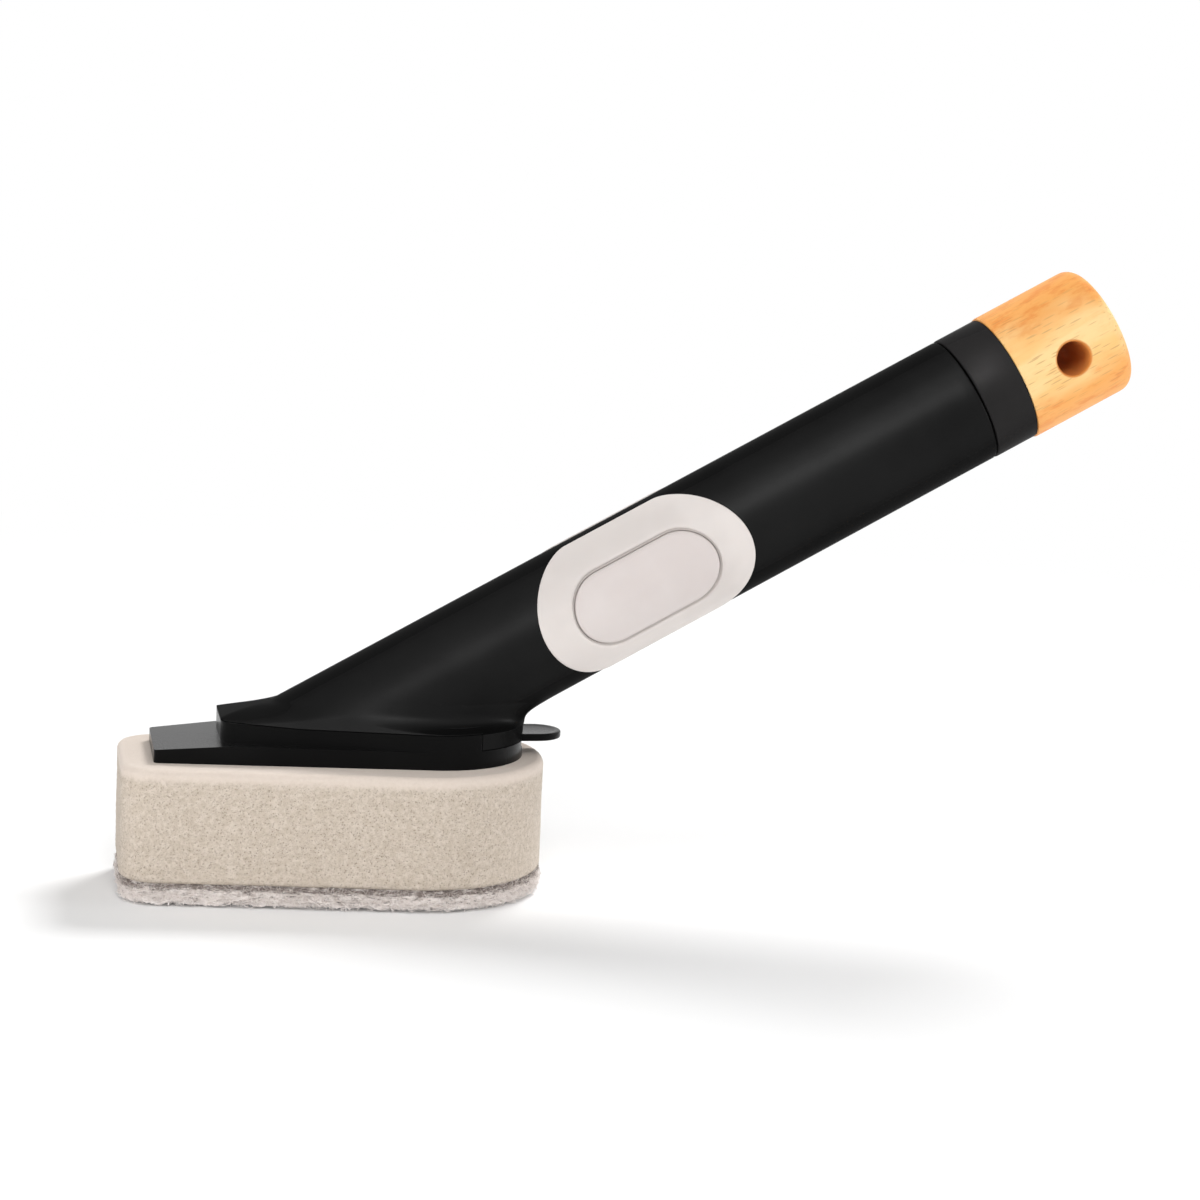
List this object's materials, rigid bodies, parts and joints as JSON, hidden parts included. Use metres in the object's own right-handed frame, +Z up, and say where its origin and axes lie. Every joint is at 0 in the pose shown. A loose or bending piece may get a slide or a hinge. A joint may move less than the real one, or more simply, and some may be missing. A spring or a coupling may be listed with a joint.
{
  "type": "dish wand",
  "caption": "Soap dispensing dish wand with a slanted black tube handle, pale squeeze pads, a wooden knob on a screw cap, and a slide-off sponge head with a scour pad.",
  "frame": {"origin": "centre of the scrubbing face, on the surface that the wand stands on", "axes": "+Z up, -X towards the scraper ledge at the head's front, +X towards the knob, +Y towards the right squeeze pad"},
  "size_m": [0.2306, 0.056, 0.1441],
  "materials": {
    "shell": "satin",
    "carriage": "satin",
    "collar": "satin",
    "hidden_plastic": "matte",
    "silicone": "matte",
    "button": "matte",
    "seal": "matte",
    "beech": "satin",
    "steel": "satin",
    "foam": "matte",
    "scour": "matte"
  },
  "bodies": {
    "handle": {"handle_shell": "shell", "foot_sole": "hidden_plastic", "dosing_valve": "silicone", "valve_retainer": "hidden_plastic", "outlet_seal": "silicone", "left_pad_rim": "silicone", "right_pad_rim": "silicone"},
    "left_button": {"left_pad_button": "button"},
    "right_button": {"right_pad_button": "button"},
    "cap_seal": {"cap_seal": "seal"},
    "cap": {"cap_collar": "collar", "wooden_knob": "beech", "knob_screw": "steel"},
    "head": {"head_carriage": "carriage", "foam_sponge": "foam", "scour_pad": "scour"},
    "tab": {"release_tab": "carriage"}
  },
  "joints": [
    {"name": "left_press", "type": "slide", "parent": "handle", "child": "left_button", "axis": [0, 1, 0], "range_m": [0, 0.003], "stiffness_N_per_m": 1500},
    {"name": "right_press", "type": "slide", "parent": "handle", "child": "right_button", "axis": [0, -1, 0], "range_m": [0, 0.003], "stiffness_N_per_m": 1500},
    {"name": "cap_lift", "type": "slide", "parent": "handle", "child": "cap_seal", "axis": [0.8721, 0, 0.4894], "range_m": [0, 0.012]},
    {"name": "cap_turn", "type": "hinge", "parent": "cap_seal", "child": "cap", "pos_m": [0.14367, 0, 0.11356], "axis": [0.8721, 0, 0.4894], "range_deg": [0, 1080.5]},
    {"name": "head_slide", "type": "slide", "parent": "handle", "child": "head", "axis": [-1, 0, 0], "range_m": [0, 0.07]},
    {"name": "tab_press", "type": "hinge", "parent": "head", "child": "tab", "pos_m": [0.024, 0, 0.03483], "axis": [0, 1, 0], "range_deg": [0, 5], "stiffness_Nm_per_rad": 1}
  ],
  "couplings": [
    {"joint": "cap_turn", "follows": "cap_lift", "rad_per_m": 1570.8}
  ]
}
